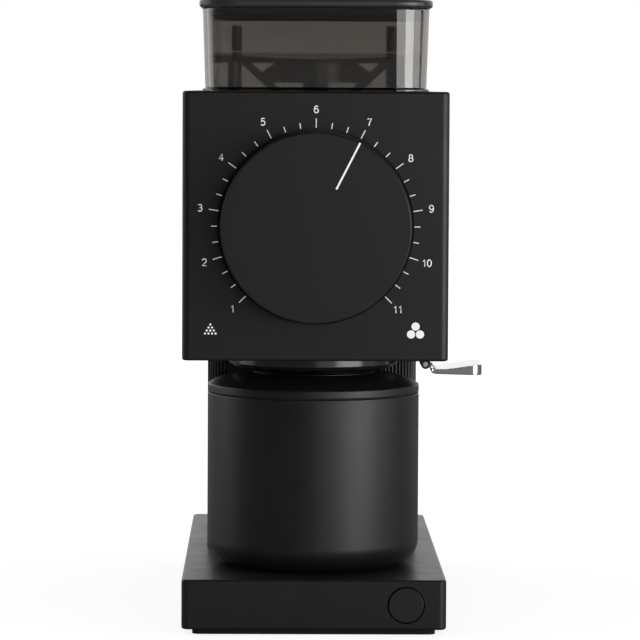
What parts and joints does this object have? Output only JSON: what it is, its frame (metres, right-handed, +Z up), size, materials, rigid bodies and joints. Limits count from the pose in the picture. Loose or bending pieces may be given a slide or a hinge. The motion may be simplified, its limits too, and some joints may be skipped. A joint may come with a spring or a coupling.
{
  "type": "burr coffee grinder",
  "caption": "Flat-burr coffee grinder: slab base, fluted column, box head with a grind dial, knock lever, clear bean hopper and a lidded grounds cup.",
  "frame": {"origin": "centre of the foot pad's underside, on the surface the grinder stands on", "axes": "+X to the right seen from the front, +Y to the back, +Z up; the dial and the button face -Y"},
  "size_m": [0.121, 0.24, 0.2513],
  "materials": {
    "black_paint": "die-cast aluminium under a matte black powder coat, fine grain",
    "black_plastic": "fine moulded texture",
    "column_paint": "extruded aluminium, satin black paint on its ribs",
    "cup_coat": "satin soft-touch coat",
    "black_rubber": "matte",
    "white_print": "printed white",
    "chrome": "polished",
    "smoke_clear": "smoke-tinted clear plastic",
    "smoke_dark": "dark smoke plastic",
    "lid_plastic": "satin",
    "steel": "machined",
    "burr_steel": "ground",
    "cast_aluminium": "as cast",
    "bronze": "turned",
    "copper": "enamelled wire",
    "laminations": "stacked steel sheet",
    "board_green": "solder mask",
    "dark_parts": "moulded",
    "wire_red": "insulation"
  },
  "bodies": {
    "housing": {"foot_pad": "black_rubber", "base_cover": "black_plastic", "base_housing": "black_paint", "base_screws": "steel", "control_board": "board_green", "board_parts": "dark_parts", "button_spring": "steel", "button_switch": "dark_parts", "lead_gland": "black_rubber", "column": "column_paint", "tie_rods": "steel", "wiring_loom": "wire_red", "head_shell": "black_paint", "rear_cover": "black_plastic", "rear_screws": "steel", "scale_marks": "white_print", "dial_bushing": "bronze", "chamber_front": "cast_aluminium", "grinding_chamber": "cast_aluminium", "grounds_chute": "dark_parts", "spout_bell": "lid_plastic", "shaft_seal": "black_rubber", "motor_front_bell": "cast_aluminium", "front_bearing": "steel", "motor_stator": "laminations", "stator_windings": "copper", "brush_holders": "dark_parts", "motor_rear_bell": "cast_aluminium", "rear_bearing": "steel", "motor_cradle": "black_rubber", "lever_pin": "steel", "lever_bracket": "black_paint", "lever_spring": "steel", "hopper_bin": "smoke_clear", "hopper_funnel": "smoke_dark"},
    "dial": {"dial_knob": "black_plastic", "dial_pointer": "white_print", "dial_spindle": "steel"},
    "burr_adjuster": {"adjuster_plate": "bronze", "guide_pins": "steel", "burr_carrier": "cast_aluminium", "outer_burr": "burr_steel", "outer_burr_screws": "steel"},
    "rotor": {"auger": "steel", "inner_burr": "burr_steel", "inner_burr_screws": "steel", "rotor_carrier": "cast_aluminium", "motor_shaft": "steel", "motor_rotor": "laminations", "commutator": "copper", "cooling_fan": "dark_parts"},
    "button": {"start_button": "black_plastic"},
    "lever": {"knocker_lever": "chrome"},
    "hopper_top": {"hopper_lid": "lid_plastic", "hopper_lid_seal": "black_rubber"},
    "grounds_cup": {"cup_body": "cup_coat", "cup_gasket": "black_rubber", "cup_lid": "cup_coat"}
  },
  "joints": [
    {"name": "dial_turn", "type": "hinge", "parent": "housing", "child": "dial", "pos_m": [0, -0.12, 0.16205], "axis": [0, 1, 0], "range_deg": [-162, 108]},
    {"name": "burr_adjust", "type": "slide", "parent": "housing", "child": "burr_adjuster", "axis": [0, -1, 0], "range_m": [-0.00068, 0.00045]},
    {"name": "rotor_spin", "type": "hinge", "parent": "housing", "child": "rotor", "pos_m": [0, 0, 0.16205], "axis": [0, 1, 0], "continuous": true},
    {"name": "start_press", "type": "slide", "parent": "housing", "child": "button", "axis": [0, 1, 0], "range_m": [0, 0.0015], "stiffness_N_per_m": 600, "springref_m": -0.001, "deforming": ["button_spring"]},
    {"name": "lever_press", "type": "hinge", "parent": "housing", "child": "lever", "pos_m": [0.0455, -0.057, 0.1044], "axis": [0, 1, 0], "range_deg": [0, 12], "stiffness_Nm_per_rad": 0.5, "springref_deg": -8.59},
    {"name": "hopper_lid_lift", "type": "slide", "parent": "housing", "child": "hopper_top", "axis": [0, 0, 1], "range_m": [0, 0.03]},
    {"name": "cup_slide", "type": "slide", "parent": "housing", "child": "grounds_cup", "axis": [0, -1, 0], "range_m": [0, 0.11]}
  ],
  "couplings": [
    {"joint": "dial_turn", "follows": "burr_adjust", "rad_per_m": 4188.8}
  ]
}
